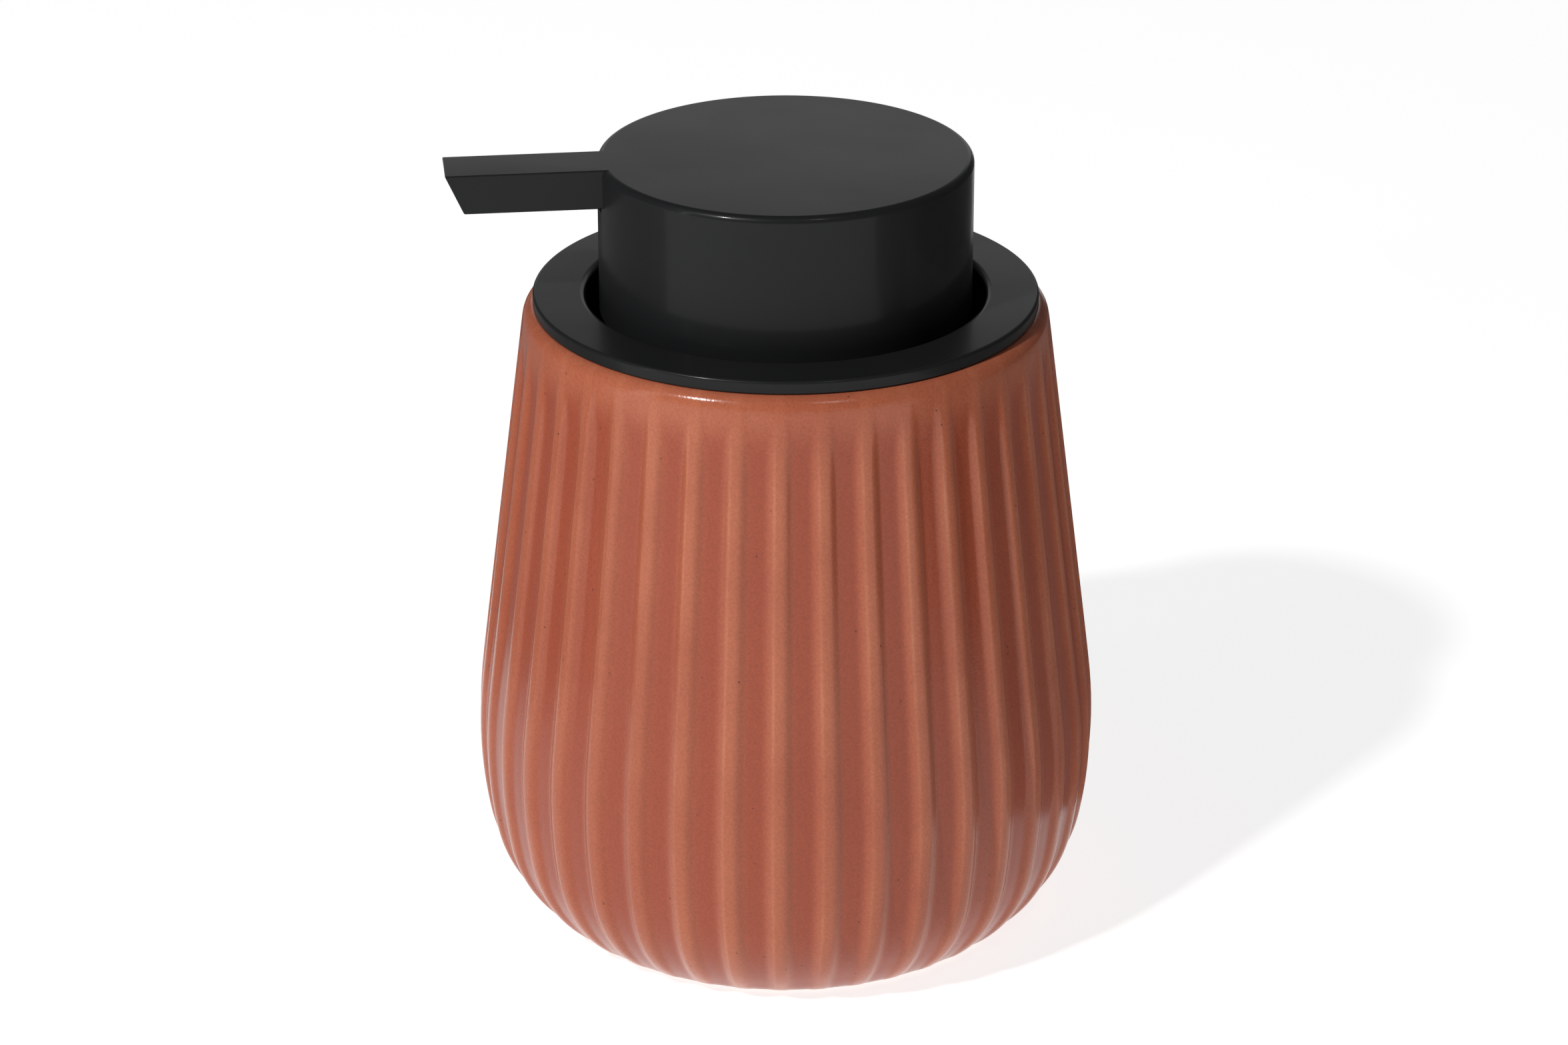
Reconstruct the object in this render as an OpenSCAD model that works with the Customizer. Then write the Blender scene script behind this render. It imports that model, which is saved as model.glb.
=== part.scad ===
// Soap pump dispenser: a fluted stoneware bottle with a drop-in push-button pump.
// Millimetres, +Z up, origin at the centre of the base. The spout points along -X.

/* [Bottle] */
// Height of the bottle's rim above the table
rim_z = 98.8; // [95:0.1:110]
// Largest radius, over the lands between the flutes
belly_r = 47.85; // [46:0.05:52]
// Height of the largest radius
belly_z = 29.5; // [26:0.5:32]
// Radius of the long belly arc
belly_arc_r = 74; // [65:1:90]
// Radius of the arc that turns the wall in to the base
corner_arc_r = 25; // [23:0.5:27]
// Tilt of the wall where the belly arc meets the corner arc, degrees
corner_turn = 10.4; // [8:0.2:13]
// Inward lean of the straight upper wall, degrees
wall_lean = 7.5; // [6:0.1:8]
// Radius of the rounded shoulder at the rim
shoulder_r = 2.2; // [1.5:0.1:3]
// Radius of the straight bore in the mouth
mouth_r = 33.5; // [33.5:0.1:34.5]
// Thickness of the wall
wall_t = 4.6; // [4:0.1:6]
// Thickness of the floor
floor_t = 6; // [5:0.5:8]
// Inner radius of the unglazed foot ring
foot_inner_r = 31; // [25:0.5:33]
// Depth of the recess inside the foot ring
foot_recess = 1.2; // [0.5:0.1:2]

/* [Flutes] */
// Number of flutes round the bottle
flute_count = 40; // [24:1:60]
// Depth of a flute below the lands
flute_depth = 0.9; // [0.3:0.05:1.2]
// Share of the pitch taken by the land between two flutes
land_share = 0.32; // [0.15:0.01:0.5]
// Turn of the first land's centre from the +X axis, degrees
flute_phase = 1; // [0:0.5:9]
// Distance below the rim over which the flutes fade in
flute_fade = 11; // [6:1:20]

/* [Collar] */
// Thickness of the collar ring
collar_t = 2; // [1.6:0.1:3]
// Outer radius of the collar ring
collar_r = 38; // [37:0.1:38.5]
// Radius of the hole that the head slides in
collar_hole_r = 30; // [29.5:0.1:30.4]
// Radius of the rounded inner edge of the ring
collar_inner_round = 1; // [0.3:0.1:1.2]
// Radius of the rounded outer edge of the ring
collar_outer_round = 0.45; // [0.2:0.05:0.8]
// Wall thickness of the recess cup
cup_t = 1.6; // [1.5:0.1:2]
// Depth of the cup's floor below the top of the ring
cup_depth = 14.5; // [13.5:0.5:16]

/* [Head] */
// Outer radius of the push button
head_r = 28; // [27:0.1:28.5]
// Height of the button's top above the top of the ring
head_rise = 21.1; // [19:0.1:24]
// Radius of the rounded edge at the button's top
head_round = 1.05; // [0.5:0.05:2]
// Wall thickness of the button's skirt
skirt_t = 2; // [1.6:0.1:2.5]
// Thickness of the button's top
head_top_t = 1.5; // [1.5:0.1:1.7]
// Distance the skirt reaches below the top of the ring at rest
skirt_reach = 3; // [1.5:0.5:4]
// Distance the button travels when pressed
stroke = 9; // [6:0.5:9]

/* [Spout] */
// Distance from the pump's axis to the spout's tip
spout_reach = 50.7; // [40:0.1:60]
// Width of the spout
spout_w = 9; // [8:0.1:12]
// Height of the spout
spout_h = 6; // [5.5:0.1:8]
// Distance the spout's end face slants back from top to bottom
spout_slant = 2.7; // [0:0.1:4]
// Thickness of the spout's side walls
spout_wall = 1.2; // [1:0.1:1.5]
// Thickness of the strip that closes the spout
cover_t = 0.8; // [0.6:0.1:0.8]

/* [Pump] */
// Radius of the pump cylinder's bore
bore_r = 7; // [7:0.1:7.4]
// Outer radius of the pump cylinder
cylinder_r = 8.6; // [8.6:0.05:8.8]
// Outer radius of the stem
stem_r = 4; // [3.8:0.05:4.2]
// Radius of the passage through the stem
passage_r = 1.5; // [1:0.1:1.6]
// Outer radius of the dip tube
tube_r = 3; // [2.5:0.1:3]
// Inner radius of the dip tube
tube_bore_r = 2; // [1.5:0.1:2.2]
// Gap between the dip tube's end and the bottle's floor
tube_gap = 2; // [1:0.5:6]
// Radius of the spring's wire
wire_r = 0.45; // [0.3:0.05:0.6]
// Number of turns of the spring
spring_turns = 7; // [5:1:8]
// Radius of the inlet valve's ball
inlet_ball_r = 2.4; // [2.2:0.1:2.5]
// Radius of the outlet valve's ball
outlet_ball_r = 2.1; // [1.9:0.1:2.2]

/* [Hidden] */
$fn = 96;
eps = 0.01;
// Radial gap of a sliding or turning fit, and of a fixed fit
run_gap = 0.06;
fit_gap = 0.04;

terracotta = [0.70, 0.42, 0.33];
black_plastic = [0.17, 0.17, 0.18];
white_plastic = [0.90, 0.91, 0.90];
clear_plastic = [0.82, 0.86, 0.88];
silicone = [0.62, 0.64, 0.65];
steel = [0.74, 0.75, 0.77];

// The bottle's outline: corner arc, belly arc, straight wall and shoulder arc, each tangent to the next
belly_axis_r = belly_r - belly_arc_r;
corner_z = belly_z - (belly_arc_r - corner_arc_r) * sin(corner_turn);
corner_axis_r = belly_axis_r + (belly_arc_r - corner_arc_r) * cos(corner_turn);
base_turn = asin(corner_z / corner_arc_r);
lean_z = belly_z + belly_arc_r * sin(wall_lean);
lean_r = belly_axis_r + belly_arc_r * cos(wall_lean);
shoulder_z = rim_z - shoulder_r;
shoulder_axis_r = lean_r - (shoulder_z - lean_z) * tan(wall_lean) - shoulder_r / cos(wall_lean);
straight_top_z = shoulder_z + shoulder_r * sin(wall_lean);

// Heights of the pump's parts
collar_top_z = rim_z + collar_t;
cup_floor_z = collar_top_z - cup_depth;
cup_base_z = cup_floor_z - 2;
neck_top_z = cup_floor_z + 6;
neck_in_r = cylinder_r + 0.4;
neck_out_r = neck_in_r + 2;
gasket_t = 1;
flange_z = neck_top_z + gasket_t;
flange_t = 1.5;
flange_r = neck_out_r - 0.2;
guide_z = flange_z + flange_t;
guide_top_z = guide_z + 4.2;
nut_z = neck_top_z - 4.8;
nut_top_z = guide_z + flange_t + 1.5;
nut_r = neck_out_r + 2;
head_top_z = collar_top_z + head_rise;
head_ceiling_z = head_top_z - head_top_t;
skirt_z = collar_top_z - skirt_reach;
spout_base_z = head_top_z - spout_h;
cover_top_z = spout_base_z + cover_t;
nozzle_r = 1.4;
nozzle_bore_r = 1;
nozzle_z = cover_top_z + nozzle_r + 0.05;
stem_top_z = spout_base_z - 1.5;
socket_z = stem_top_z - 4.9;
hub_r = 6.5;
spigot_z = stem_top_z - 3.9;
spigot_r = passage_r + 1.1;
chamber_r = spigot_r + 0.1;

// The piston hangs just under the guide at rest, and the spring reaches from it to the ball stop
piston_top_z = guide_z - 9.4;
carrier_z = piston_top_z - 8.4;
carrier_flange_t = 1.2;
carrier_r = 5;
step_z = carrier_z - stroke - 13;
stop_t = 1.5;
spring_z = step_z + stop_t;
spring_top_z = carrier_z;
spring_mean_r = 5.5;

// Ball seats are cones with a 3:4 flare, so a ball touches at 0.8 of its radius
flare = 0.75;
inlet_chamber_r = inlet_ball_r + 0.6;
inlet_throat_r = 1.4;
inlet_seat_z = step_z - 5.8;
inlet_throat_z = inlet_seat_z - (inlet_chamber_r - inlet_throat_r) / flare;
inlet_apex_z = inlet_seat_z - inlet_chamber_r / flare;
inlet_ball_z = inlet_apex_z + inlet_ball_r / sin(atan(flare)) + 0.08;
socket_base_z = inlet_throat_z - 13;
tube_top_z = inlet_throat_z - 2;
outlet_seat_z = spigot_z - 2.9;
outlet_throat_z = outlet_seat_z - (chamber_r - passage_r) / flare;
outlet_apex_z = outlet_seat_z - chamber_r / flare;
outlet_ball_z = outlet_apex_z + outlet_ball_r / sin(atan(flare)) + 0.08;

// ---- helpers ----

// A ring turned about the Z axis, from its inner and outer radius and two heights
module ring(inner_r, outer_r, z0, z1) {
    rotate_extrude()
        translate([inner_r, z0])
            square([outer_r - inner_r, z1 - z0]);
}

// A shape turned from its outline of [radius, height] points
module turned(outline) {
    rotate_extrude()
        polygon(outline);
}

// The fraction of flute depth at a height: full on the wall, running out at the shoulder and the base
function flute_fade_at(z) =
    let (down = max(0, min(1, (straight_top_z - z) / flute_fade)),
         up = max(0, min(1, (z + 0.5) / 8)))
    down * down * (3 - 2 * down) * up * (2 - up);

// Outline of the bottle from the base to the rim, as [radius, height] points along its arcs
function bottle_outline() = concat(
    [for (i = [0:5])
        let (a = base_turn + (corner_turn - base_turn) * i / 5)
        [corner_axis_r + corner_arc_r * cos(a), corner_z - corner_arc_r * sin(a)]],
    [for (i = [1:3])
        let (a = corner_turn - (corner_turn + wall_lean) * i / 3)
        [belly_axis_r + belly_arc_r * cos(a), belly_z - belly_arc_r * sin(a)]],
    [for (z = [lean_z + 22, lean_z + 42, straight_top_z - 9, straight_top_z - 5, straight_top_z])
        [lean_r - (z - lean_z) * tan(wall_lean), z]],
    [for (a = [35, 62, 90])
        [shoulder_axis_r + shoulder_r * cos(a), shoulder_z + shoulder_r * sin(a)]]);

// One flute pitch as [share of the pitch, share of the depth] pairs, from a land's centre
function flute_section() = concat(
    [[-land_share / 2, 0], [land_share / 2, 0]],
    [for (u = [0.25, 0.5, 0.75]) [land_share / 2 + (1 - land_share) * u, 4 * u * (1 - u)]]);

// The solid inside the fluted outer surface
module fluted_solid() {
    outline = bottle_outline();
    section = flute_section();
    pitch = 360 / flute_count;
    per_ring = flute_count * len(section);
    rings = len(outline);
    points = [for (p = outline) for (i = [0:flute_count - 1]) for (s = section)
        let (a = flute_phase + (i + s[0]) * pitch, r = p[0] - flute_depth * s[1] * flute_fade_at(p[1]))
        [r * cos(a), r * sin(a), p[1]]];
    sides = [for (k = [0:rings - 2]) for (j = [0:per_ring - 1])
        let (n = (j + 1) % per_ring, low = k * per_ring, high = low + per_ring)
        each [[low + j, high + j, high + n], [low + j, high + n, low + n]]];
    base = [for (j = [0:per_ring - 1]) j];
    rim = [for (j = [per_ring - 1:-1:0]) (rings - 1) * per_ring + j];
    polyhedron(points, concat(sides, [base, rim]), convexity = 4);
}

// ---- bottle ----

// Stoneware bottle: fluted outside, smooth inside, with a straight bored mouth and a foot ring
module ceramic_body() color(terracotta) {
    bore_base_z = rim_z - 15;
    difference() {
        fluted_solid();
        turned([[0, floor_t], [foot_inner_r, floor_t], [corner_axis_r + 16.5, floor_t + 4],
                [belly_r - wall_t - 1.2, belly_z - 13], [belly_r - wall_t, belly_z],
                [lean_r - wall_t - 1.5, lean_z + 11], [lean_r - wall_t - 4.6, bore_base_z - 9],
                [mouth_r, bore_base_z], [mouth_r, rim_z - 0.5], [mouth_r + 0.6, rim_z + 0.1],
                [0, rim_z + 0.1]]);
        translate([0, 0, -1])
            cylinder(r = foot_inner_r, h = foot_recess + 1);
    }
}

// ---- collar ----

// Flat ring that covers the rim, with rounded edges and a groove for the cup's tongue
module collar_ring() color(black_plastic) {
    top_in_r = collar_hole_r + collar_inner_round;
    top_out_r = collar_r - collar_outer_round;
    rotate_extrude() difference() {
        union() {
            translate([top_in_r, rim_z])
                square([top_out_r - top_in_r, collar_t]);
            translate([collar_hole_r, rim_z])
                square([collar_inner_round + eps, collar_t - collar_inner_round]);
            translate([top_out_r - eps, rim_z])
                square([collar_outer_round + eps, collar_t - collar_outer_round]);
            translate([top_in_r, collar_top_z - collar_inner_round])
                circle(collar_inner_round);
            translate([top_out_r, collar_top_z - collar_outer_round])
                circle(collar_outer_round);
        }
        translate([collar_hole_r + 0.45, rim_z - 1])
            square([1.1, 2.05]);
    }
}

// Cup that plugs the mouth: wall with a seat for the seal, floor, and the pump's neck
module collar_cup() color(black_plastic) {
    cup_r = collar_hole_r + cup_t;
    union() {
        difference() {
            ring(collar_hole_r, cup_r, cup_base_z, rim_z);
            ring(cup_r - 0.5, cup_r + 1, cup_base_z + 3.2, rim_z - 3.3);
        }
        ring(collar_hole_r + 0.5, cup_r - 0.1, rim_z - eps, rim_z + 1);
        ring(neck_in_r, collar_hole_r + eps, cup_base_z, cup_floor_z);
        ring(neck_in_r, neck_out_r, cup_base_z, neck_top_z);
    }
}

// Silicone ring with three lips that press on the bore of the mouth
module mouth_seal() color(silicone) {
    seat_r = collar_hole_r + cup_t - 0.5 + fit_gap;
    seal_z = cup_base_z + 3.25;
    seal_h = rim_z - 3.35 - seal_z;
    lip_r = mouth_r - run_gap;
    union() {
        ring(seat_r, seat_r + 1.1, seal_z, seal_z + seal_h);
        for (i = [0:2])
            let (z = seal_z + seal_h * (i + 0.5) / 3)
                turned([[seat_r + 1, z - 1], [lip_r, z - 0.1], [lip_r, z + 0.2], [seat_r + 1, z + 0.6]]);
    }
}

// ---- pump body ----

// Nut that clamps the cylinder's flange and the guide on the cup's neck, with grip ribs
module closure_nut() color(white_plastic) {
    rib_count = 24;
    difference() {
        union() {
            cylinder_between(nut_r, nut_z, nut_top_z);
            for (i = [0:rib_count - 1])
                rotate(i * 360 / rib_count)
                    translate([nut_r, 0, nut_z])
                        cylinder(r = 0.5, h = nut_top_z - nut_z - 1.5);
        }
        cylinder_between(neck_out_r + run_gap, nut_z - 1, nut_top_z - 1.5);
        cylinder_between(5.9, nut_top_z - 2, nut_top_z + 1);
    }
}

// A plain round bar or bore between two heights
module cylinder_between(r, z0, z1) {
    translate([0, 0, z0])
        cylinder(r = r, h = z1 - z0);
}

// Flat washer between the neck and the cylinder's flange
module cylinder_gasket() color(silicone)
    ring(cylinder_r + 0.1, flange_r, neck_top_z, flange_z);

// Pump cylinder: flange, piston bore, valve chamber with its cone seat, and tube socket
module pump_cylinder() color(white_plastic) {
    vent_z = carrier_z + 5;
    difference() {
        turned([[0, socket_base_z], [tube_r + 1.4, socket_base_z], [tube_r + 1.4, inlet_throat_z],
                [cylinder_r, step_z - 2], [cylinder_r, flange_z], [flange_r, flange_z],
                [flange_r, guide_z], [0, guide_z]]);
        cylinder_between(bore_r, step_z, guide_z + 1);
        cylinder_between(inlet_chamber_r, inlet_seat_z, step_z + 1);
        translate([0, 0, inlet_throat_z])
            cylinder(r1 = inlet_throat_r, r2 = inlet_chamber_r, h = inlet_seat_z - inlet_throat_z);
        cylinder_between(inlet_throat_r, tube_top_z - 1, inlet_throat_z + eps);
        cylinder_between(tube_r + fit_gap, socket_base_z - 1, tube_top_z);
        translate([0, 0, vent_z])
            rotate([0, 90, 0])
                cylinder(r = 0.6, h = cylinder_r + 1);
    }
}

// Bush that guides the stem: flange, boss through the nut, and a tube that stops the piston
module stem_guide() color(white_plastic) {
    difference() {
        union() {
            cylinder_between(flange_r - 0.2, guide_z, guide_z + flange_t);
            cylinder_between(5.8, guide_z, guide_top_z);
            cylinder_between(bore_r - fit_gap, piston_top_z + 0.2, guide_z + eps);
        }
        cylinder_between(stem_r + run_gap, piston_top_z - 1, guide_top_z + 1);
        cylinder_between(stem_r + 1.2, piston_top_z - 1, guide_z - 1.8);
    }
}

// Disc that carries the spring and stops the inlet ball, with four ports round its stud
module ball_stop() color(white_plastic) {
    port_ring_r = 2.2;
    difference() {
        union() {
            cylinder_between(bore_r - fit_gap, step_z, spring_z);
            cylinder_between(1.2, step_z - 1.7, step_z + eps);
        }
        for (i = [0:3])
            rotate(45 + i * 90)
                translate([port_ring_r, 0, step_z - 1])
                    cylinder(r = 0.7, h = stop_t + 2);
    }
}

// Suction tube, cut square at the top and slanting at the bottom
module dip_tube() color(clear_plastic) {
    tube_base_z = floor_t + tube_gap;
    difference() {
        ring(tube_bore_r, tube_r, tube_base_z, tube_top_z);
        translate([0, 0, tube_base_z])
            rotate([0, 35, 0])
                translate([-tube_r * 3, -tube_r * 2, -10])
                    cube([tube_r * 6, tube_r * 4, 10]);
    }
}

// ---- moving pump parts ----

// Hollow stem with the outlet valve's seat and chamber in its top end
module stem() color(white_plastic) {
    stem_base_z = carrier_z + 2.4;
    difference() {
        cylinder_between(stem_r, stem_base_z, stem_top_z);
        cylinder_between(passage_r, stem_base_z - 1, outlet_throat_z + eps);
        translate([0, 0, outlet_throat_z])
            cylinder(r1 = passage_r, r2 = chamber_r, h = outlet_seat_z - outlet_throat_z);
        cylinder_between(chamber_r, outlet_seat_z, stem_top_z + 1);
    }
}

// Barrel on the stem's lower end, with the flange that the spring pushes on
module piston_carrier() color(white_plastic) {
    difference() {
        union() {
            cylinder_between(6.2, carrier_z, carrier_z + carrier_flange_t);
            cylinder_between(carrier_r, carrier_z, piston_top_z);
        }
        cylinder_between(stem_r + fit_gap, carrier_z + 2.4, piston_top_z + 1);
        cylinder_between(passage_r, carrier_z - 1, carrier_z + 3);
    }
}

// Sliding seal with a lip at each end and a waist between them
module piston_seal() color(silicone) {
    low_z = carrier_z + carrier_flange_t;
    high_z = piston_top_z - 0.2;
    lip_r = bore_r - run_gap;
    in_r = carrier_r + fit_gap;
    turned([[in_r, low_z], [lip_r - 0.9, low_z], [lip_r - 0.35, low_z + 0.4], [lip_r, low_z],
            [lip_r, low_z + 1], [lip_r - 0.8, low_z + 2.2], [lip_r - 0.8, high_z - 2.2],
            [lip_r, high_z - 1], [lip_r, high_z], [lip_r - 0.35, high_z - 0.4],
            [lip_r - 0.9, high_z], [in_r, high_z]]);
}

// Helical compression spring, swept along its coil
module return_spring() color(steel) {
    sides = 8;
    per_turn = 20;
    steps = spring_turns * per_turn;
    low_z = spring_z + wire_r + 0.05;
    high_z = spring_top_z - wire_r - 0.05;
    points = [for (k = [0:steps]) for (j = [0:sides - 1])
        let (a = k * 360 / per_turn, b = j * 360 / sides,
             r = spring_mean_r + wire_r * cos(b))
        [r * cos(a), r * sin(a), low_z + (high_z - low_z) * k / steps + wire_r * sin(b)]];
    skin = [for (k = [0:steps - 1]) for (j = [0:sides - 1])
        let (n = (j + 1) % sides, low = k * sides, high = low + sides)
        each [[low + j, low + n, high + n], [low + j, high + n, high + j]]];
    first_end = [for (j = [sides - 1:-1:0]) j];
    last_end = [for (j = [0:sides - 1]) steps * sides + j];
    polyhedron(points, concat(skin, [first_end, last_end]), convexity = 10);
}

// Ball of the inlet valve, resting in the cylinder's cone seat
module inlet_ball() color(steel)
    translate([0, 0, inlet_ball_z])
        sphere(inlet_ball_r);

// Ball of the outlet valve, resting in the stem's cone seat
module outlet_ball() color(steel)
    translate([0, 0, outlet_ball_z])
        sphere(outlet_ball_r);

// ---- head ----

// Side outline of the spout, extruded across its width
module spout_block(width, x_root, reach, z0, z1, slant) {
    rotate([90, 0, 0])
        translate([0, 0, -width / 2])
            linear_extrude(width)
                polygon([[-x_root, z0], [-x_root, z1], [-reach, z1], [-reach + slant, z0]]);
}

// Push button: round shell with a rounded top edge, and the spout's top and sides in one piece
module head_shell() color(black_plastic) {
    top_flat_r = head_r - head_round;
    difference() {
        union() {
            rotate_extrude() {
                translate([0, skirt_z])
                    square([head_r, head_top_z - head_round - skirt_z]);
                translate([0, head_top_z - head_round - eps])
                    square([top_flat_r, head_round + eps]);
                intersection() {
                    translate([top_flat_r, head_top_z - head_round])
                        circle(head_round);
                    translate([top_flat_r - head_round, head_top_z - head_round - eps])
                        square(2 * head_round + 1);
                }
            }
            spout_block(spout_w, 20, spout_reach, spout_base_z, head_top_z, spout_slant);
        }
        cylinder_between(head_r - skirt_t, skirt_z - 1, head_ceiling_z);
        translate([-(spout_reach - 4), -(spout_w / 2 - spout_wall), spout_base_z - eps])
            cube([spout_reach - 24, spout_w - 2 * spout_wall, head_ceiling_z - spout_base_z + eps]);
        translate([-(spout_reach + 1), 0, nozzle_z])
            rotate([0, 90, 0])
                cylinder(r = nozzle_r + fit_gap, h = 10);
    }
}

// Strip that closes the spout's channel, flush with its lower edges
module spout_cover() color(black_plastic) {
    cover_w = spout_w - 2 * spout_wall - 2 * fit_gap;
    translate([-(spout_reach - 4 - fit_gap), -cover_w / 2, spout_base_z])
        cube([spout_reach - 4 - fit_gap - (head_r - skirt_t - 0.6), cover_w, cover_t]);
}

// Soft tube from the core's elbow to the spout's end face
module nozzle_tube() color(clear_plastic) {
    difference() {
        translate([-(spout_reach + 1), 0, nozzle_z])
            rotate([0, 90, 0])
                cylinder(r = nozzle_r, h = spout_reach - 2);
        translate([-(spout_reach + 2), 0, nozzle_z])
            rotate([0, 90, 0])
                cylinder(r = nozzle_bore_r, h = spout_reach + 2);
        rotate([90, 0, 0])
            translate([0, 0, -5])
                linear_extrude(10)
                    polygon([[-spout_reach - 5, spout_base_z - 1],
                             [-spout_reach - 5, head_top_z + 1],
                             [-spout_reach + 0.2, head_top_z],
                             [-spout_reach + 0.2 + spout_slant, spout_base_z]]);
    }
}

// Inner moulding of the head: stem socket, slotted spigot, elbow passage and ribs
module head_core() color(white_plastic) {
    rib_angles = [0, 45, 90, 135, 225, 270, 315];
    rib_z = head_ceiling_z - 5.5;
    difference() {
        union() {
            cylinder_between(hub_r, socket_z, head_ceiling_z);
            for (a = rib_angles)
                rotate(a)
                    translate([hub_r - 0.5, -0.6, rib_z])
                        cube([head_r - skirt_t - hub_r, 1.2, head_ceiling_z - rib_z]);
        }
        difference() {
            cylinder_between(stem_r + run_gap, socket_z - 1, stem_top_z + 0.1);
            cylinder_between(spigot_r, spigot_z, stem_top_z + 1);
        }
        cylinder_between(passage_r, spigot_z - 1, nozzle_z);
        translate([-hub_r - 1, 0, nozzle_z])
            rotate([0, 90, 0])
                cylinder(r = nozzle_r + fit_gap, h = hub_r + 1);
        translate([-spigot_r - 1, -0.5, spigot_z - 1])
            cube([2 * spigot_r + 2, 1, 2.5]);
    }
}

ceramic_body();
collar_ring();
collar_cup();
mouth_seal();
closure_nut();
cylinder_gasket();
pump_cylinder();
stem_guide();
stem();
piston_carrier();
piston_seal();
return_spring();
ball_stop();
inlet_ball();
outlet_ball();
dip_tube();
head_shell();
head_core();
nozzle_tube();
spout_cover();
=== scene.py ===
import bpy
import bmesh
import math
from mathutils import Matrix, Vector


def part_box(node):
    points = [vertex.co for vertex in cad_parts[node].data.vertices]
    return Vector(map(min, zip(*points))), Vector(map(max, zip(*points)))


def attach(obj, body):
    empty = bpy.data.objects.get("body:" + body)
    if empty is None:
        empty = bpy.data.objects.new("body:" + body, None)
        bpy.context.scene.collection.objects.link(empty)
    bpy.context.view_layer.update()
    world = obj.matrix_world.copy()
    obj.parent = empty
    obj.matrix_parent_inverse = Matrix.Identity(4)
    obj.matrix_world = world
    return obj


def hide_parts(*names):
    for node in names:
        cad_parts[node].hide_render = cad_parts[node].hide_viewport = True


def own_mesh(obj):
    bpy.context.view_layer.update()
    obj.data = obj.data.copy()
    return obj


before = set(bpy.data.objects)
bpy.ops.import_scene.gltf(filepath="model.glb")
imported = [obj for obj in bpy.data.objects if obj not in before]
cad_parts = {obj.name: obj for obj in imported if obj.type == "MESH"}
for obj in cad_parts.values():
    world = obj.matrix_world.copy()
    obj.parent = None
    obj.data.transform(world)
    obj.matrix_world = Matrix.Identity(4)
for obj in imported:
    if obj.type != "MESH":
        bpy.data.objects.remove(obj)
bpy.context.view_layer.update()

mm = 0.001


# ---- Camera ----
# A long lens on a full-frame body, a little left of the bottle's front and looking down on it.
# It aims at the pump's axis just above the middle of the bottle.

camera_turn = math.radians(-6.8)
camera_dip = math.radians(24.03)
camera_distance = 612.1 * mm
camera_height = 334.9 * mm
lens_mm = 100.06
film_width_mm = 36
lens_shift = -0.0011
bpy.ops.object.camera_add(
    location=(
        camera_distance * math.sin(camera_turn), -camera_distance * math.cos(camera_turn), camera_height,
    ),
    rotation=(math.pi / 2 - camera_dip, 0, camera_turn),
)
camera = bpy.context.object
camera.name = "studio_camera"
camera.data.lens = lens_mm
camera.data.sensor_width = film_width_mm
camera.data.shift_x = lens_shift
camera.data.clip_start = 10 * mm
bpy.context.scene.camera = camera


# ---- Floor and light ----
# A white table that glows a little. A small bright box lights it from the front left, with a tall strip
# beside it, a faint box on the right and a broad low one behind. Unseen grey cards darken what the
# gloss mirrors and dim the right side.

floor_size = 6
floor_shade = 0.42
floor_glow = 0.82
bpy.ops.mesh.primitive_plane_add(size=floor_size, location=(0, 0, 0))
floor = bpy.context.object
floor.name = "studio_floor"


def matt_paint(name, shade):
    """A dull grey paint of one shade: returns the material and its shader."""
    paint = bpy.data.materials.new(name)
    paint.use_nodes = True
    shader = paint.node_tree.nodes["Principled BSDF"]
    shader.inputs["Base Color"].default_value = (shade, shade, shade, 1)
    shader.inputs["Roughness"].default_value = 0.9
    return paint, shader


floor_paint, shader = matt_paint("white_floor", floor_shade)
shader.inputs["Emission Color"].default_value = (1, 1, 1, 1)
shader.inputs["Emission Strength"].default_value = floor_glow
shader.inputs["Specular IOR Level"].default_value = 0.1
floor.data.materials.append(floor_paint)


def soft_box(name, turn, rise, distance, width, height, power):
    """An area light aimed at the bottle, turned from the camera's direction and raised, in degrees."""
    angle = camera_turn + math.radians(turn)
    lift = math.radians(rise)
    away = Vector((math.sin(angle) * math.cos(lift), -math.cos(angle) * math.cos(lift), math.sin(lift)))
    target = Vector((0, 0, 60 * mm))
    bpy.ops.object.light_add(type="AREA", location=target + away * distance)
    light = bpy.context.object
    light.name = name
    light.rotation_euler = away.to_track_quat("Z", "Y").to_euler()
    light.data.shape = "RECTANGLE"
    light.data.size = width
    light.data.size_y = height
    light.data.energy = power


soft_box("key_soft_box", -43, 45, 1.4, 0.07, 0.07, 12)
soft_box("strip_soft_box", -62, 8, 1.3, 0.05, 1.2, 1.3)
soft_box("faint_soft_box", 26, 55, 1.5, 0.15, 0.15, 1.0)
soft_box("back_soft_box", 165, 15, 1.4, 1.8, 0.4, 1.8)

# each card stands on the table: its turn from the camera in degrees, its distance, width, height and shade
for side, turn, away, width, height, shade in (
    ("right", 105, 0.20, 0.50, 0.40, 0.04),
    ("left", -118, 0.15, 0.30, 0.10, 0.40),
    ("right_edge", 120, 0.062, 0.16, 0.09, 0.25),
    ("left_edge", -168, 0.09, 0.10, 0.09, 0.05),
):
    angle = camera_turn + math.radians(turn)
    bpy.ops.mesh.primitive_plane_add(
        size=1, location=(math.sin(angle) * away, -math.cos(angle) * away, height / 2),
        rotation=(0, math.pi / 2, angle - math.pi / 2),
    )
    card = bpy.context.object
    card.name = side + "_grey_card"
    card.scale = (height, width, 1)
    card.visible_camera = False
    card.visible_shadow = False
    card.visible_diffuse = not side.endswith("edge")
    card.data.materials.append(matt_paint(side + "_card_paint", shade)[0])

world_glow = 0.07
world = bpy.data.worlds.new("studio")
bpy.context.scene.world = world
world.use_nodes = True
world.node_tree.nodes["Background"].inputs["Color"].default_value = (1.0, 1.0, 1.0, 1)
world.node_tree.nodes["Background"].inputs["Strength"].default_value = world_glow
bpy.context.scene.view_settings.view_transform = "Standard"


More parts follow.
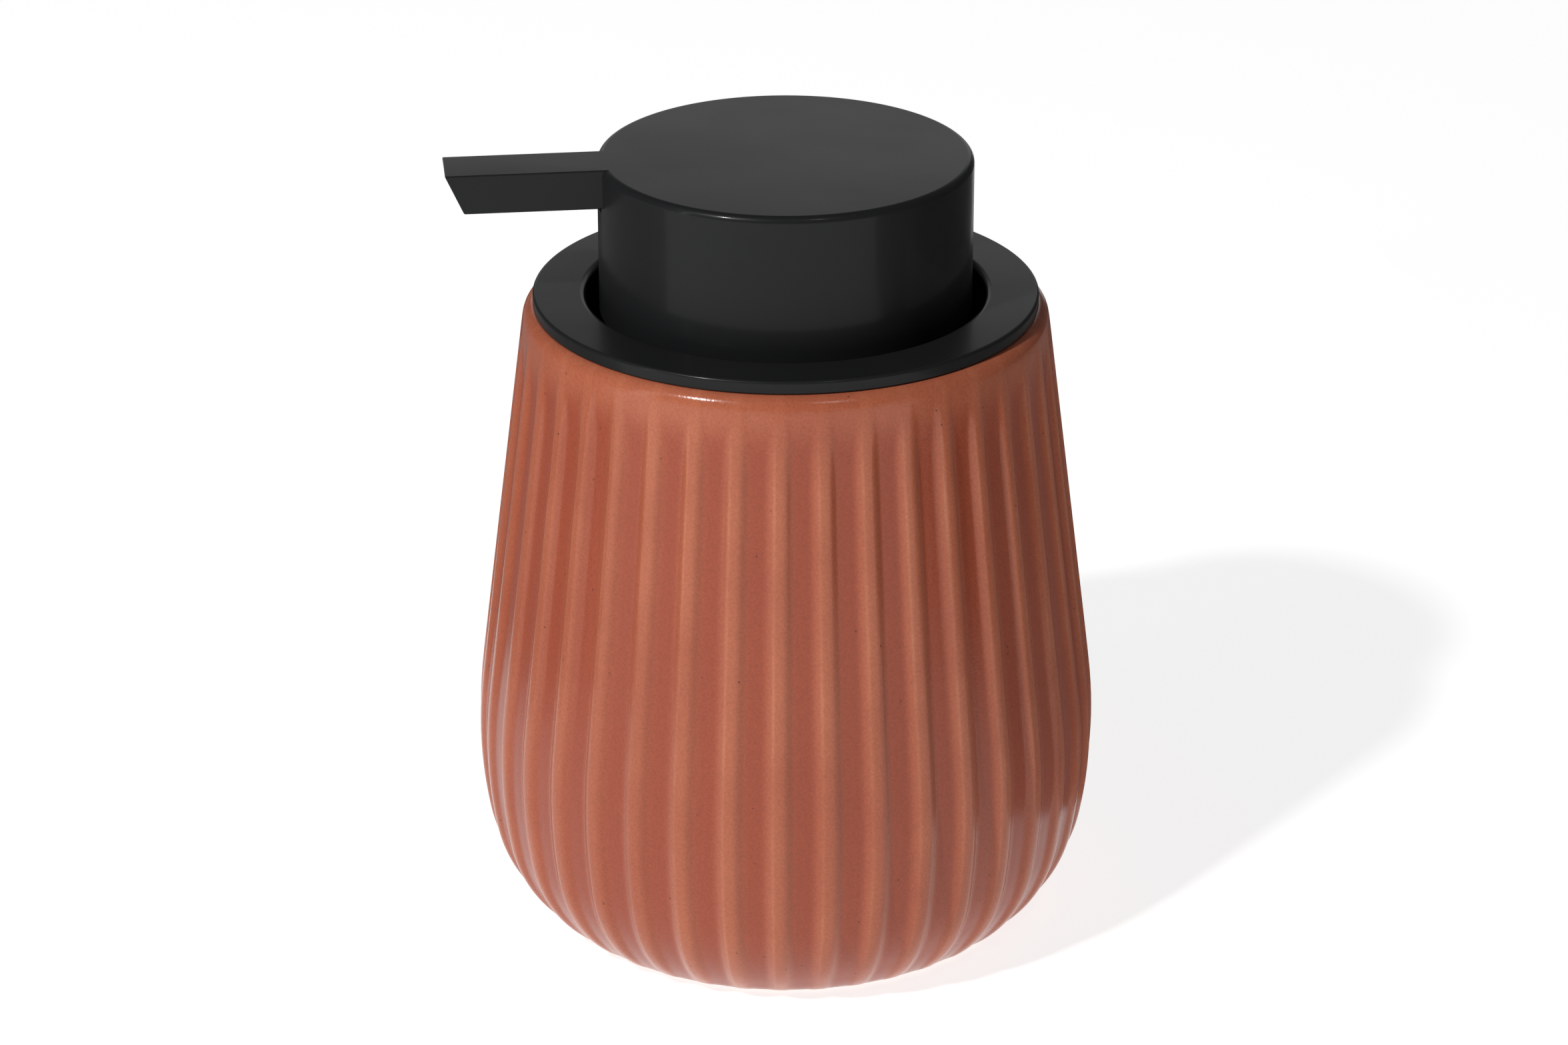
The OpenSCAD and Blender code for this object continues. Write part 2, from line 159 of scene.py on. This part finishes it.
# ---- Bottle ----
# Slip-cast stoneware, glazed in terracotta inside and out, with 40 shallow flutes pressed into its
# wall. The glaze runs thin and pale over the lands, and the foot ring is wiped bare.

rim_z = 98.8 * mm
foot_inner_r = 31 * mm
foot_recess = 1.2 * mm
floor_z = 6 * mm
mouth_r = 33.5 * mm
belly_r = 47.85 * mm
belly_z = 29.5 * mm
belly_arc_r = 74 * mm
corner_arc_r = 25 * mm
corner_turn = math.radians(10.4)
wall_lean = math.radians(7.5)
shoulder_r = 2.2 * mm
flute_count = 40
flute_depth = 0.75 * mm
flute_phase = math.radians(1.0)
flute_fade = 11 * mm
foot_fade = 8 * mm
ridge_share = 0.10
flank_share = 0.19
points_per_flute = 12
pin_point = 1e-6
near = 0.01 * mm

belly_axis_r = belly_r - belly_arc_r
corner_z = belly_z - (belly_arc_r - corner_arc_r) * math.sin(corner_turn)
corner_axis_r = belly_axis_r + (belly_arc_r - corner_arc_r) * math.cos(corner_turn)
base_turn = math.asin(corner_z / corner_arc_r)
lean_z = belly_z + belly_arc_r * math.sin(wall_lean)
lean_r = belly_axis_r + belly_arc_r * math.cos(wall_lean)
shoulder_z = rim_z - shoulder_r
shoulder_axis_r = lean_r - (shoulder_z - lean_z) * math.tan(wall_lean) - shoulder_r / math.cos(wall_lean)
straight_top_z = shoulder_z + shoulder_r * math.sin(wall_lean)


def arc(centre_r, centre_z, radius, first, last, steps):
    """Points [radius, height] along an arc, from one angle above the horizontal to another."""
    angles = [first + (last - first) * i / steps for i in range(steps + 1)]
    return [(centre_r + radius * math.cos(a), centre_z + radius * math.sin(a)) for a in angles]


def start_edit(name):
    """Names the new primitive, and opens it in edit mode with nothing else selected."""
    piece = bpy.context.object
    piece.name = name
    piece.data.name = name
    bpy.ops.object.mode_set(mode="EDIT")
    bpy.ops.mesh.select_mode(type="VERT")
    return piece


def turned(name, outline, count, slice_of=None):
    """A turned piece: a circle extruded from ring to ring along its outline of (radius, height) points.
    A radius of 0 is drawn as a pin point and merged to a pole. With slice_of, only that many steps of the
    circle are kept, from the Y axis clockwise."""
    bpy.ops.object.select_all(action="DESELECT")
    radius, height = max(outline[0][0], pin_point), outline[0][1]
    bpy.ops.mesh.primitive_circle_add(vertices=count, radius=radius, location=(0, 0, 0))
    piece = start_edit(name)
    if slice_of:
        slack = 0.001
        widest = (slice_of + 0.5) * math.tau / count
        select_where(piece, lambda co: not -slack < math.atan2(co.x, co.y) < widest)
        bpy.ops.mesh.delete(type="VERT")
    bpy.ops.mesh.select_all(action="SELECT")
    bpy.ops.transform.translate(value=(0, 0, height))
    for next_radius, next_height in outline[1:]:
        bpy.ops.mesh.extrude_edges_move(TRANSFORM_OT_translate={"value": (0, 0, next_height - height)})
        share = max(next_radius, pin_point) / radius
        bpy.ops.transform.resize(value=(share, share, 1), center_override=(0, 0, next_height))
        radius, height = max(next_radius, pin_point), next_height
    bpy.ops.mesh.select_all(action="SELECT")
    bpy.ops.mesh.remove_doubles(threshold=2 * pin_point)
    bpy.ops.mesh.normals_make_consistent(inside=False)
    return piece


def select_where(piece, wanted):
    """Selects just the vertices whose place passes a test, with the edges and faces between them."""
    mesh = bmesh.from_edit_mesh(piece.data)
    for vertex in mesh.verts:
        vertex.select = wanted(vertex.co)
    mesh.select_flush_mode()
    mesh.select_flush(True)
    bmesh.update_edit_mesh(piece.data)


wall_steps = (8, 16, 24, 32, 38, 43, 47, 51, 54.5)
wall_outline = (
    arc(corner_axis_r, corner_z, corner_arc_r, -base_turn, -corner_turn, 9)
    + arc(belly_axis_r, belly_z, belly_arc_r, -corner_turn, wall_lean, 6)[1:]
    + [(lean_r - step * mm * math.tan(wall_lean), lean_z + step * mm) for step in wall_steps]
    + arc(shoulder_axis_r, shoulder_z, shoulder_r, wall_lean, math.pi / 2, 5)
)
foot_outline = [(0, foot_recess), (foot_inner_r, foot_recess), (foot_inner_r + 0.3 * mm, 0)]
inner_outline = [
    (mouth_r + 0.5 * mm, rim_z),
    (mouth_r, rim_z - 0.5 * mm),
    (mouth_r, rim_z - 15 * mm),
    (lean_r - 9.2 * mm, rim_z - 24 * mm),
    (lean_r - 6.1 * mm, lean_z + 11 * mm),
    (belly_r - 4.6 * mm, belly_z),
    (belly_r - 5.8 * mm, belly_z - 13 * mm),
    (corner_axis_r + 16.5 * mm, floor_z + 4 * mm),
    (foot_inner_r, floor_z),
    (0, floor_z),
]
bottle = turned(
    "fluted_bottle", foot_outline + wall_outline + inner_outline,
    flute_count * points_per_flute, slice_of=points_per_flute,
)


def fade(height):
    """How deep the flutes are at a height: full on the wall, running out at the shoulder and the base."""
    down = min(1, max(0, (straight_top_z - height) / flute_fade))
    up = min(1, max(0, (height + 0.5 * mm) / foot_fade))
    return down * down * (3 - 2 * down) * up * (2 - up)


def flute_shape(step):
    """Share of the flute's depth at each of its evenly spaced points: a rounded ridge and a wide groove."""
    down = min(1, max(0, (step / points_per_flute - ridge_share) / flank_share))
    return down * down * (3 - 2 * down)


for ring_r, ring_z in wall_outline:
    for step in range(1, points_per_flute // 2 + 1):
        depth = flute_depth * flute_shape(step) * fade(ring_z)
        if depth <= 0:
            continue

        def in_groove(co):
            on_ring = abs(co.z - ring_z) < near and abs(math.hypot(co.x, co.y) - ring_r) < near
            place = math.atan2(co.y, co.x) / math.tau * flute_count % 1 * points_per_flute
            return on_ring and min(abs(place - step), abs(place - points_per_flute + step)) < 0.1

        select_where(bottle, in_groove)
        share = (ring_r - depth) / ring_r
        bpy.ops.transform.resize(value=(share, share, 1), center_override=(0, 0, ring_z))
bpy.ops.mesh.select_all(action="SELECT")
bpy.ops.mesh.spin(
    steps=flute_count - 1, dupli=True, angle=math.tau * (flute_count - 1) / flute_count,
    center=(0, 0, 0), axis=(0, 0, 1),
)
bpy.ops.mesh.select_all(action="SELECT")
bpy.ops.mesh.remove_doubles(threshold=2 * pin_point)
bpy.ops.mesh.normals_make_consistent(inside=False)
bpy.ops.transform.rotate(value=-flute_phase, orient_axis="Z", center_override=(0, 0, 0))
bpy.ops.object.mode_set(mode="OBJECT")
smoothing = bottle.modifiers.new("smoothing", "SUBSURF")
smoothing.levels = 1
smoothing.render_levels = 1
bpy.ops.object.modifier_apply(modifier="smoothing")
bpy.ops.object.shade_smooth_by_angle(angle=math.radians(40))


def new_material(name):
    """An empty node material: returns the material, its node tree and its shader."""
    material = bpy.data.materials.new(name)
    material.use_nodes = True
    return material, material.node_tree, material.node_tree.nodes["Principled BSDF"]


def wire(tree, kind, settings=None, **inputs):
    """Adds a node and feeds its inputs, by name or as in_0, in_1, from sockets or plain values."""
    node = tree.nodes.new(kind)
    for key, value in (settings or {}).items():
        setattr(node, key, value)
    for key, value in inputs.items():
        socket = node.inputs[int(key[3:]) if key.startswith("in_") else key.replace("_", " ")]
        if isinstance(value, bpy.types.NodeSocket):
            tree.links.new(value, socket)
        else:
            socket.default_value = value
    return node


def calc(tree, operation, *values):
    """The result of a maths node on one, two or three values."""
    inputs = {f"in_{i}": value for i, value in enumerate(values)}
    return wire(tree, "ShaderNodeMath", {"operation": operation}, **inputs).outputs[0]


def ramp(tree, value, start, end, at_start, at_end, kind="LINEAR"):
    """Turns a value's run from start to end into one from at_start to at_end, held at both ends."""
    return wire(
        tree, "ShaderNodeMapRange", {"interpolation_type": kind},
        Value=value, From_Min=start, From_Max=end, To_Min=at_start, To_Max=at_end,
    ).outputs[0]


def noise(tree, place, scale, detail, roughness):
    """A cloudy noise, 0 to 1, of the given fineness."""
    return wire(
        tree, "ShaderNodeTexNoise", Vector=place, Scale=scale, Detail=detail, Roughness=roughness,
    ).outputs[0]


def blend(tree, share, under, over, kind="MIX"):
    """A colour laid over another, by a share from 0 to 1."""
    return wire(
        tree, "ShaderNodeMix", {"data_type": "RGBA", "blend_type": kind}, in_0=share, in_6=under, in_7=over,
    ).outputs[2]


groove_paint = (0.365, 0.078, 0.038, 1)
land_paint = (0.490, 0.146, 0.075, 1)
deep_paint = (0.335, 0.069, 0.034, 1)
# the colour, place and width of the pale line on one edge of each land: a painted highlight where the
# lights catch that edge, over the pale break of the glaze
glint_and_break_paint = (0.58, 0.22, 0.12, 1)
speck_paint = (0.11, 0.030, 0.020, 1)
bare_clay = (0.62, 0.40, 0.28, 1)
glint_and_break_place = 0.88
glint_and_break_width = 0.055

glaze, tree, shader = new_material("terracotta_glaze")
coordinates = wire(tree, "ShaderNodeTexCoord").outputs
place = coordinates["Object"]
parts = wire(tree, "ShaderNodeSeparateXYZ", Vector=place).outputs
# 1 on the faces that look away from the axis, 0 on the smooth inside
level = wire(tree, "ShaderNodeVectorMath", {"operation": "MULTIPLY"}, in_0=place, in_1=(1, 1, 0)).outputs[0]
outward = wire(
    tree, "ShaderNodeVectorMath", {"operation": "DOT_PRODUCT"}, in_0=level, in_1=coordinates["Normal"],
).outputs["Value"]
outside = ramp(tree, outward, 0.0, 10 * mm, 0.0, 1.0)
# the flute's number, and the distance from the nearest land's centre, 0 to 0.5 of the pitch
turn_angle = calc(tree, "ARCTAN2", parts["Y"], parts["X"])
turns = calc(
    tree, "MULTIPLY_ADD", turn_angle, flute_count / math.tau,
    flute_count - flute_phase * flute_count / math.tau,
)
off_land = calc(tree, "PINGPONG", turns, 0.5)
land = ramp(tree, off_land, 0.04, 0.42, 1.0, 0.0, "SMOOTHSTEP")
# the glaze also runs thin round the shoulder
near_rim = ramp(
    tree, parts["Z"], straight_top_z - 7 * mm, straight_top_z - 1 * mm, 0.0, 0.8, "SMOOTHSTEP",
)
land = calc(tree, "MULTIPLY", calc(tree, "MAXIMUM", land, near_rim), outside)
drift = noise(tree, place, 45.0, 3.0, 0.55)
grain = noise(tree, place, 2600.0, 2.0, 0.6)
paint = blend(tree, land, groove_paint, land_paint)
# a faint pale line along just one edge of each land, the edge the lights catch, thinner in places: the
# glaze breaks pale over the arris, and painting it on that edge alone makes it a painted highlight
off_glint_line = calc(tree, "SUBTRACT", calc(tree, "FRACT", turns), glint_and_break_place)
edge = ramp(tree, calc(tree, "ABSOLUTE", off_glint_line), 0.0, glint_and_break_width, 1.0, 0.0, "SMOOTHSTEP")
patchy = ramp(tree, drift, 0.3, 0.7, 0.55, 0.05)
below_rim = ramp(tree, near_rim, 0.0, 0.8, 1.0, 0.0)
for mask in (patchy, below_rim, outside):
    edge = calc(tree, "MULTIPLY", edge, mask)
paint = blend(tree, edge, paint, glint_and_break_paint)
cloud = ramp(tree, drift, 0.35, 0.7, 0.0, 0.45)
paint = blend(tree, cloud, paint, deep_paint)
mottle = ramp(tree, grain, 0.3, 0.7, 0.90, 1.10)
paint = blend(tree, 1.0, paint, mottle, "MULTIPLY")
# a few dark iron specks
specks = wire(tree, "ShaderNodeTexVoronoi", Vector=place, Scale=420.0, Randomness=1.0).outputs
rare = calc(tree, "GREATER_THAN", specks["Color"], 0.68)
dot = ramp(tree, specks["Distance"], 0.04, 0.09, 0.8, 0.0)
paint = blend(tree, calc(tree, "MULTIPLY", rare, dot), paint, speck_paint)
# the wiped foot: bare clay on the foot ring, with a soft edge where the glaze stops
bare = ramp(tree, parts["Z"], 0.2 * mm, 0.8 * mm, 1.0, 0.0)
paint = blend(tree, bare, paint, bare_clay)
tree.links.new(paint, shader.inputs["Base Color"])
tree.links.new(ramp(tree, bare, 0.0, 1.0, 0.18, 0.85), shader.inputs["Roughness"])
shader.inputs["IOR"].default_value = 1.52
shader.inputs["Specular IOR Level"].default_value = 0.3
ripple = noise(tree, place, 140.0, 2.0, 0.5)
swell = wire(tree, "ShaderNodeBump", Strength=0.10, Distance=0.6 * mm, Height=ripple).outputs[0]
pits = wire(tree, "ShaderNodeBump", Strength=0.10, Distance=0.2 * mm, Height=grain, Normal=swell).outputs[0]
tree.links.new(pits, shader.inputs["Normal"])
bottle.data.materials.append(glaze)
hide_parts("ceramic_body")
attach(bottle, "bottle")


# ---- Collar ring ----
# A flat ring of satin black plastic that covers the bottle's rim. Its edges are rounded in the mould,
# and a groove under it is welded to the tongue of the cup.

collar_top_z = rim_z + 2 * mm
collar_r = 38 * mm
collar_hole_r = 30 * mm
groove_inner_r = collar_hole_r + 0.45 * mm
groove_outer_r = collar_hole_r + 1.55 * mm
groove_top_z = rim_z + 1.05 * mm
ring_segments = 256


def round_edges(piece, loops, width, segments):
    """Bevels the edge loops of a turned piece that lie at the given (radius, height) places."""
    def on_loop(co):
        radius = math.hypot(co.x, co.y)
        return any(abs(radius - r) < 2 * near and abs(co.z - z) < 2 * near for r, z in loops)

    select_where(piece, on_loop)
    bpy.ops.mesh.bevel(offset=width, segments=segments, affect="EDGES", profile=0.5)


def finish_hard(piece, angle=35):
    """Leaves edit mode and shades a moulded piece: smooth on its curves and flat on its faces."""
    if bpy.context.mode != "OBJECT":
        bpy.ops.object.mode_set(mode="OBJECT")
    bpy.ops.object.select_all(action="DESELECT")
    piece.select_set(True)
    bpy.context.view_layer.objects.active = piece
    bpy.ops.object.shade_smooth_by_angle(angle=math.radians(angle))
    weights = piece.modifiers.new("even_normals", "WEIGHTED_NORMAL")
    weights.keep_sharp = True
    weights.weight = 100
    bpy.ops.object.modifier_apply(modifier="even_normals")


collar = turned(
    "collar_trim",
    [
        (collar_hole_r, rim_z), (collar_hole_r, collar_top_z), (collar_r, collar_top_z), (collar_r, rim_z),
        (groove_outer_r, rim_z), (groove_outer_r, groove_top_z),
        (groove_inner_r, groove_top_z), (groove_inner_r, rim_z), (collar_hole_r, rim_z),
    ],
    ring_segments,
)
round_edges(collar, [(collar_hole_r, collar_top_z)], 1.0 * mm, 6)
round_edges(collar, [(collar_r, collar_top_z)], 0.45 * mm, 5)
round_edges(collar, [(collar_r, rim_z)], 0.25 * mm, 3)
finish_hard(collar)

black_dark = (0.0125, 0.0132, 0.0136, 1)
black_light = (0.0148, 0.0156, 0.0160, 1)
satin_black, tree, shader = new_material("satin_black_plastic")
place = wire(tree, "ShaderNodeTexCoord").outputs["Object"]
fine = noise(tree, place, 5200.0, 2.0, 0.6)
broad = noise(tree, place, 60.0, 2.0, 0.5)
tree.links.new(blend(tree, broad, black_dark, black_light), shader.inputs["Base Color"])
tree.links.new(ramp(tree, broad, 0.3, 0.7, 0.32, 0.38), shader.inputs["Roughness"])
shader.inputs["IOR"].default_value = 1.5
shader.inputs["Specular IOR Level"].default_value = 0.10
grain_bump = wire(tree, "ShaderNodeBump", Strength=0.10, Distance=0.04 * mm, Height=fine).outputs[0]
tree.links.new(grain_bump, shader.inputs["Normal"])
shader.inputs["Coat Weight"].default_value = 0.15
shader.inputs["Coat Roughness"].default_value = 0.12
collar.data.materials.append(satin_black)
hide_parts("collar_ring")
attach(collar, "pump")


# ---- Collar cup ----
# The black moulding under the ring: its wall plugs the bottle's mouth and carries the seal, its floor
# closes the bottle, and the neck in the middle holds the pump.

cup_wall_r = collar_hole_r + 1.6 * mm
cup_floor_z = collar_top_z - 14.5 * mm
cup_base_z = cup_floor_z - 2 * mm
neck_in_r = 9 * mm
neck_out_r = 11 * mm
neck_top_z = cup_floor_z + 6 * mm
seal_base_z = cup_base_z + 3.2 * mm
seal_top_z = rim_z - 3.3 * mm
seal_groove_r = cup_wall_r - 0.5 * mm
tongue_outer_r = cup_wall_r - 0.1 * mm
tongue_inner_r = collar_hole_r + 0.5 * mm
tongue_top_z = rim_z + 1 * mm
cup = turned(
    "collar_recess_cup",
    [
        (neck_in_r, cup_base_z), (cup_wall_r, cup_base_z), (cup_wall_r, seal_base_z),
        (seal_groove_r, seal_base_z), (seal_groove_r, seal_top_z), (cup_wall_r, seal_top_z),
        (cup_wall_r, rim_z), (tongue_outer_r, rim_z), (tongue_outer_r, tongue_top_z),
        (tongue_inner_r, tongue_top_z), (tongue_inner_r, rim_z), (collar_hole_r, rim_z),
        (collar_hole_r, cup_floor_z), (neck_out_r, cup_floor_z), (neck_out_r, neck_top_z),
        (neck_in_r, neck_top_z), (neck_in_r, cup_base_z),
    ],
    ring_segments,
)
round_edges(cup, [(cup_wall_r, cup_base_z)], 0.6 * mm, 4)
round_edges(cup, [(collar_hole_r, cup_floor_z)], 1.2 * mm, 5)
round_edges(cup, [(neck_out_r, neck_top_z), (neck_in_r, neck_top_z)], 0.3 * mm, 3)
finish_hard(cup)
cup.data.materials.append(satin_black)
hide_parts("collar_cup")
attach(cup, "pump")


# ---- Push button and spout ----
# One black moulding: a round shell with a rounded top edge, open below, and a flat square-edged spout
# whose top runs on from the button's. The spout's end slants back towards the drip side.

head_top_z = collar_top_z + 21.1 * mm
head_r = 28 * mm
skirt_inner_r = 26 * mm
skirt_z = collar_top_z - 3 * mm
ceiling_z = head_top_z - 1.5 * mm
spout_reach = 50.7 * mm
spout_root = 20 * mm
spout_w = 9 * mm
spout_base_z = head_top_z - 6 * mm
spout_slant = 2.7 * mm
channel_w = 6.6 * mm
channel_end = spout_reach - 4 * mm


def round_bar(name, radius, low, high):
    """A closed round bar between two heights, left in edit mode."""
    bpy.ops.object.select_all(action="DESELECT")
    bpy.ops.mesh.primitive_cylinder_add(
        vertices=ring_segments, radius=radius, depth=high - low, location=(0, 0, 0), end_fill_type="NGON",
    )
    piece = start_edit(name)
    bpy.ops.mesh.select_all(action="SELECT")
    bpy.ops.transform.translate(value=(0, 0, (low + high) / 2))
    return piece


def block(name, low, high):
    """A closed block between two corners, left in edit mode."""
    bpy.ops.object.select_all(action="DESELECT")
    bpy.ops.mesh.primitive_cube_add(size=1, location=(0, 0, 0))
    piece = start_edit(name)
    bpy.ops.mesh.select_all(action="SELECT")
    bpy.ops.transform.resize(value=[b - a for a, b in zip(low, high)], center_override=(0, 0, 0))
    bpy.ops.transform.translate(value=[(a + b) / 2 for a, b in zip(low, high)])
    return piece


def combine(piece, tool, operation):
    """Joins the tool to the piece, or cuts it out of it, and removes the tool."""
    if bpy.context.mode != "OBJECT":
        bpy.ops.object.mode_set(mode="OBJECT")
    bpy.ops.object.select_all(action="DESELECT")
    piece.select_set(True)
    bpy.context.view_layer.objects.active = piece
    joining = piece.modifiers.new("joining", "BOOLEAN")
    joining.operation = operation
    joining.solver = "EXACT"
    joining.object = tool
    bpy.ops.object.modifier_apply(modifier="joining")
    bpy.data.objects.remove(tool)


button = round_bar("push_button", head_r, skirt_z, head_top_z)
round_edges(button, [(head_r, head_top_z)], 1.05 * mm, 8)
round_edges(button, [(head_r, skirt_z)], 0.3 * mm, 3)
bpy.ops.object.mode_set(mode="OBJECT")

spout = block(
    "spout_bar", (-spout_reach, -spout_w / 2, spout_base_z), (-spout_root, spout_w / 2, head_top_z),
)
select_where(spout, lambda co: co.x < -spout_root - mm and co.z < spout_base_z + mm)
bpy.ops.transform.translate(value=(spout_slant, 0, 0))
select_where(spout, lambda co: True)
bpy.ops.mesh.bevel(offset=0.22 * mm, segments=3, affect="EDGES", profile=0.5)
combine(button, spout, "UNION")

cavity = round_bar("button_cavity", skirt_inner_r, skirt_z - mm, ceiling_z)
round_edges(cavity, [(skirt_inner_r, ceiling_z)], 0.5 * mm, 3)
combine(button, cavity, "DIFFERENCE")
channel = block(
    "spout_channel",
    (-channel_end, -channel_w / 2, spout_base_z - mm), (-(skirt_inner_r - mm), channel_w / 2, ceiling_z),
)
combine(button, channel, "DIFFERENCE")
finish_hard(button, 30)
button.data.materials.append(satin_black)
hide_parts("head_shell")
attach(button, "head")


# ---- Spout strip ----
# The strip of the same black plastic that closes the spout's channel from below. It is pressed in
# flush and its edges leave a fine parting line.

strip_low, strip_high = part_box("spout_cover")
strip = block("spout_strip", strip_low, strip_high)
bpy.ops.mesh.select_all(action="SELECT")
bpy.ops.mesh.bevel(offset=0.12 * mm, segments=2, affect="EDGES", profile=0.5)
finish_hard(strip)
strip.data.materials.append(satin_black)
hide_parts("spout_cover")
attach(strip, "head")


# ---- Return spring ----
# Stainless wire coiled round the axis between the ball stop and the piston carrier. It shortens as the
# button goes down; here it is coiled at one length and rides with the pump.

spring_low, spring_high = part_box("return_spring")
wire_r = 0.45 * mm
coil_r = 5.5 * mm
coil_turns = 7
coil_steps = 32
spring_length = spring_high.z - spring_low.z
bpy.ops.object.select_all(action="DESELECT")
bpy.ops.mesh.primitive_circle_add(
    vertices=12, radius=wire_r, location=(0, 0, 0), rotation=(math.pi / 2, 0, 0), fill_type="NOTHING"
)
spring = start_edit("coil_spring")
bpy.ops.object.mode_set(mode="OBJECT")
bpy.ops.object.transform_apply(location=False, rotation=True, scale=False)
bpy.ops.object.mode_set(mode="EDIT")
bpy.ops.mesh.select_all(action="SELECT")
bpy.ops.transform.translate(value=(coil_r, 0, spring_low.z + wire_r))
bpy.ops.object.mode_set(mode="OBJECT")
coiling = spring.modifiers.new("coiling", "SCREW")
coiling.axis = "Z"
coiling.angle = math.tau
coiling.iterations = coil_turns
coiling.screw_offset = (spring_length - 2 * wire_r) / coil_turns
coiling.steps = coil_steps
coiling.render_steps = coil_steps
bpy.ops.object.modifier_apply(modifier="coiling")
bpy.ops.object.mode_set(mode="EDIT")
bpy.ops.mesh.select_all(action="SELECT")
bpy.ops.mesh.remove_doubles(threshold=1e-6)
bpy.ops.mesh.select_all(action="DESELECT")
bpy.ops.mesh.select_non_manifold(extend=False)
bpy.ops.mesh.edge_face_add()
bpy.ops.mesh.select_all(action="SELECT")
bpy.ops.mesh.normals_make_consistent(inside=False)
bpy.ops.object.mode_set(mode="OBJECT")
bpy.ops.object.shade_smooth_by_angle(angle=math.radians(50))


def mottled(name, light, dark, scale, roughness, bump):
    """A plain finish with a fine mottle in its colour, roughness and surface."""
    material, tree, shader = new_material(name)
    place = wire(tree, "ShaderNodeTexCoord").outputs["Object"]
    mottle = noise(tree, place, scale, 3.0, 0.55)
    tree.links.new(blend(tree, mottle, dark, light), shader.inputs["Base Color"])
    rough = ramp(tree, mottle, 0.3, 0.7, roughness - 0.04, roughness + 0.04)
    tree.links.new(rough, shader.inputs["Roughness"])
    relief = wire(tree, "ShaderNodeBump", Strength=bump, Distance=0.1 * mm, Height=mottle).outputs[0]
    tree.links.new(relief, shader.inputs["Normal"])
    return material, shader


steel, shader = mottled(
    "polished_steel", (0.66, 0.67, 0.69, 1), (0.58, 0.59, 0.61, 1), 900.0, 0.20, 0.05,
)
shader.inputs["Metallic"].default_value = 1.0
spring.data.materials.append(steel)
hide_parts("return_spring")
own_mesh(spring)
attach(spring, "pump")


# ---- The pump's own parts ----
# Natural polypropylene mouldings, silicone seals, steel balls and polyethylene tubes. Their shapes are
# the frame's own, and each takes the finish of its material.

white_plastic, shader = mottled(
    "natural_polypropylene", (0.82, 0.83, 0.81, 1), (0.76, 0.77, 0.75, 1), 300.0, 0.38, 0.10,
)
shader.inputs["Subsurface Weight"].default_value = 0.1
shader.inputs["Subsurface Scale"].default_value = 2 * mm
silicone, _ = mottled(
    "grey_silicone", (0.36, 0.37, 0.38, 1), (0.30, 0.31, 0.32, 1), 500.0, 0.55, 0.15,
)
clear_plastic, shader = mottled(
    "clear_polyethylene", (0.86, 0.90, 0.91, 1), (0.78, 0.83, 0.84, 1), 200.0, 0.22, 0.05,
)
shader.inputs["Transmission Weight"].default_value = 0.55
shader.inputs["IOR"].default_value = 1.5
for finish, names in (
    (white_plastic, (
        "closure_nut", "pump_cylinder", "stem_guide", "stem", "piston_carrier", "ball_stop", "head_core",
    )),
    (silicone, ("mouth_seal", "cylinder_gasket", "piston_seal")),
    (clear_plastic, ("dip_tube", "nozzle_tube")),
    (steel, ("inlet_ball", "outlet_ball")),
):
    for name in names:
        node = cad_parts[name]
        node.data.materials.clear()
        node.data.materials.append(finish)
